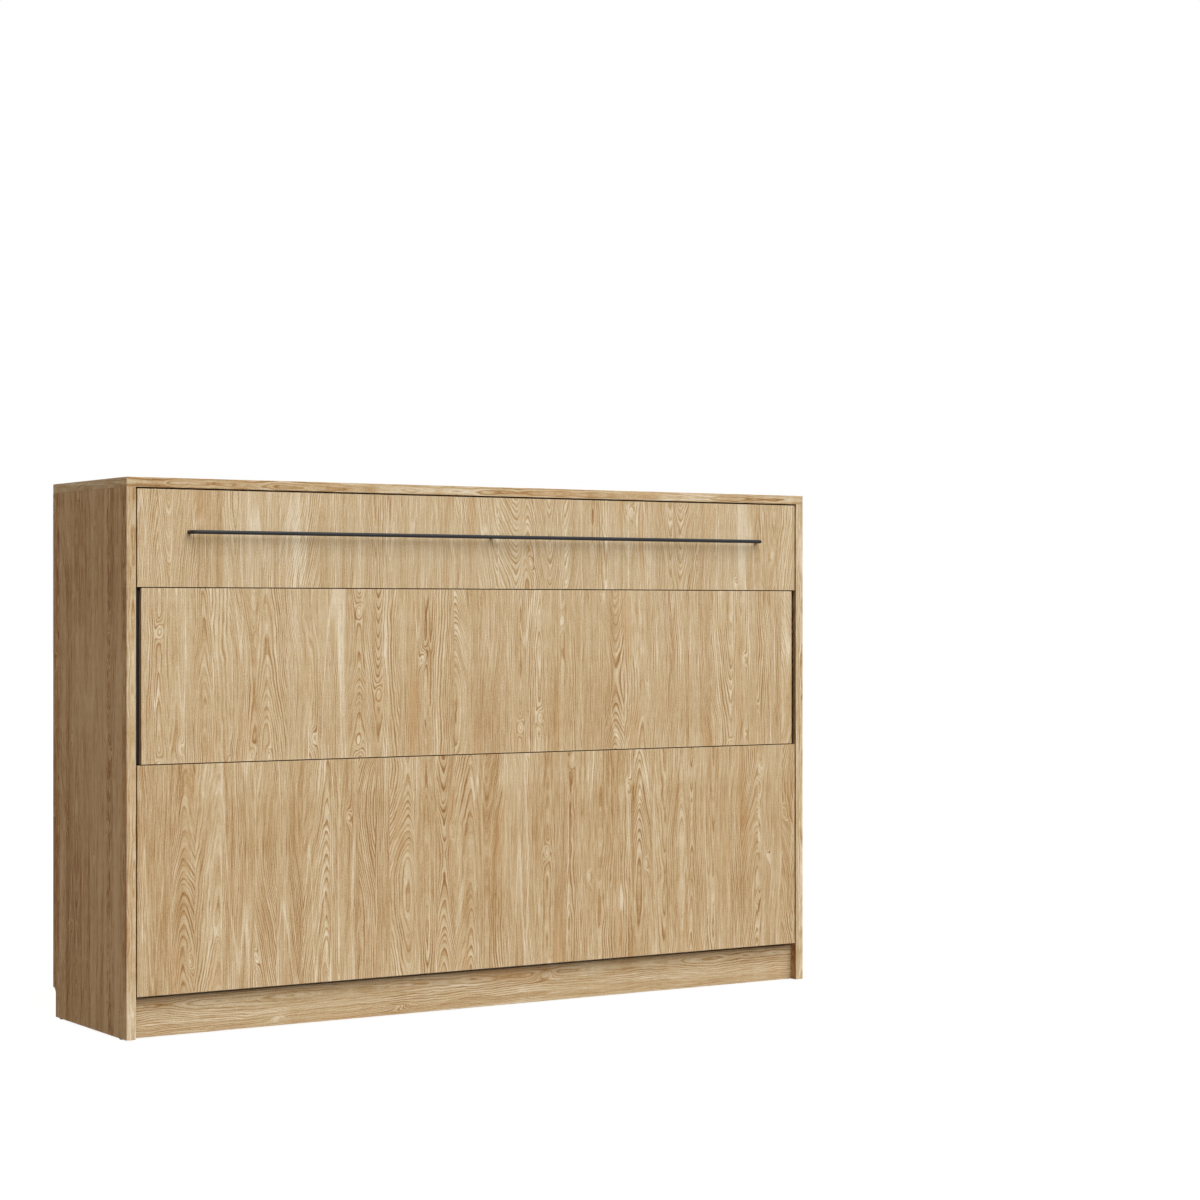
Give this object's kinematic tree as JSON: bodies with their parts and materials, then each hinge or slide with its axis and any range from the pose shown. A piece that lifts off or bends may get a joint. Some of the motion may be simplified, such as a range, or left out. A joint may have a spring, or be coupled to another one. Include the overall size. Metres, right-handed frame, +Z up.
{
  "type": "wall bed",
  "caption": "Horizontal fold-down wall bed: oak cabinet with panelled front, long bar handle, steel bed frame with slats and mattress, swing-out leg, links and gas struts.",
  "frame": {"origin": "middle of the footprint on the floor, with the handle counted in the depth", "axes": "+X along the cabinet to the right as seen from the front, -Y out of the front, +Z up"},
  "size_m": [2.12, 0.531, 1.422],
  "materials": {
    "oak_board": "light oak laminate, satin",
    "black_steel": "black powder coat, fine satin",
    "zinc_steel": "bright zinc plate",
    "black_plastic": "matte moulded",
    "rubber": "matte",
    "beech_slat": "clear lacquered laminated beech",
    "mattress_cloth": "quilted knitted ticking",
    "strap_webbing": "woven webbing",
    "bronze_bush": "sintered bronze",
    "chrome_rod": "polished"
  },
  "bodies": {
    "cabinet": {"side_left": "oak_board", "side_right": "oak_board", "top_board": "oak_board", "plinth": "oak_board", "rear_rail_upper": "oak_board", "rear_rail_middle": "oak_board", "rear_plinth": "oak_board", "glides": "black_plastic", "cam_locks": "zinc_steel", "pivot_plate_left": "black_steel", "pivot_plate_right": "black_steel", "pivot_pin_left": "zinc_steel", "pivot_pin_right": "zinc_steel", "strut_anchor_left": "black_steel", "strut_anchor_right": "black_steel", "plate_screws": "zinc_steel", "stop_brackets": "black_steel", "bumpers": "rubber"},
    "bed": {"front_panel_top": "oak_board", "front_panel_middle": "oak_board", "front_panel_bottom": "oak_board", "handle": "black_steel", "handle_screws": "zinc_steel", "side_rail_left": "black_steel", "side_rail_right": "black_steel", "cross_rail_bottom": "black_steel", "cross_rail_pivot": "black_steel", "cross_rail_lower": "black_steel", "cross_rail_upper": "black_steel", "cross_rail_top": "black_steel", "slats": "beech_slat", "slat_caps": "black_plastic", "pivot_bush_left": "bronze_bush", "pivot_bush_right": "bronze_bush", "leg_bush_left": "bronze_bush", "leg_bush_right": "bronze_bush", "strut_pin_left": "zinc_steel", "strut_pin_right": "zinc_steel", "panel_screws": "zinc_steel", "mattress": "mattress_cloth", "straps": "strap_webbing", "strap_buckles": "black_plastic"},
    "leg": {"leg_arm_left": "black_steel", "leg_arm_right": "black_steel", "torsion_tube": "black_steel", "leg_feet": "rubber", "link_pin_left": "zinc_steel", "link_pin_right": "zinc_steel"},
    "left_link": {"link_left": "black_steel"},
    "left_strut": {"strut_cylinder_left": "black_steel"},
    "left_rod": {"strut_rod_left": "chrome_rod"},
    "right_link": {"link_right": "black_steel"},
    "right_strut": {"strut_cylinder_right": "black_steel"},
    "right_rod": {"strut_rod_right": "chrome_rod"}
  },
  "joints": [
    {"name": "bed_fold", "type": "hinge", "parent": "cabinet", "child": "bed", "pos_m": [0, -0.1715, 0.405], "axis": [1, 0, 0], "range_deg": [0, 90]},
    {"name": "leg_swing", "type": "hinge", "parent": "bed", "child": "leg", "pos_m": [0, -0.1935, 1.081], "axis": [1, 0, 0], "range_deg": [-90, 0]},
    {"name": "left_link_turn", "type": "hinge", "parent": "cabinet", "child": "left_link", "pos_m": [-1.014, -0.1515, 0.44], "axis": [1, 0, 0], "range_deg": [0, 90]},
    {"name": "left_strut_turn", "type": "hinge", "parent": "cabinet", "child": "left_strut", "pos_m": [-1.0185, -0.08012, 0.64306], "axis": [1, 0, 0], "range_deg": [0, 45]},
    {"name": "left_rod_turn", "type": "hinge", "parent": "bed", "child": "left_rod", "pos_m": [-1.0185, -0.19815, 0.1514], "axis": [1, 0, 0], "range_deg": [-45, 0]},
    {"name": "right_link_turn", "type": "hinge", "parent": "cabinet", "child": "right_link", "pos_m": [1.014, -0.1515, 0.44], "axis": [1, 0, 0], "range_deg": [0, 90]},
    {"name": "right_strut_turn", "type": "hinge", "parent": "cabinet", "child": "right_strut", "pos_m": [1.0185, -0.08012, 0.64306], "axis": [1, 0, 0], "range_deg": [0, 45]},
    {"name": "right_rod_turn", "type": "hinge", "parent": "bed", "child": "right_rod", "pos_m": [1.0185, -0.19815, 0.1514], "axis": [1, 0, 0], "range_deg": [-45, 0]}
  ],
  "couplings": [
    {"joint": "leg_swing", "follows": "bed_fold", "ratio": -1},
    {"joint": "left_link_turn", "follows": "bed_fold", "ratio": 1},
    {"joint": "left_strut_turn", "follows": "bed_fold", "ratio": 0.5},
    {"joint": "left_rod_turn", "follows": "bed_fold", "ratio": -0.5},
    {"joint": "right_link_turn", "follows": "bed_fold", "ratio": 1},
    {"joint": "right_strut_turn", "follows": "bed_fold", "ratio": 0.5},
    {"joint": "right_rod_turn", "follows": "bed_fold", "ratio": -0.5}
  ]
}
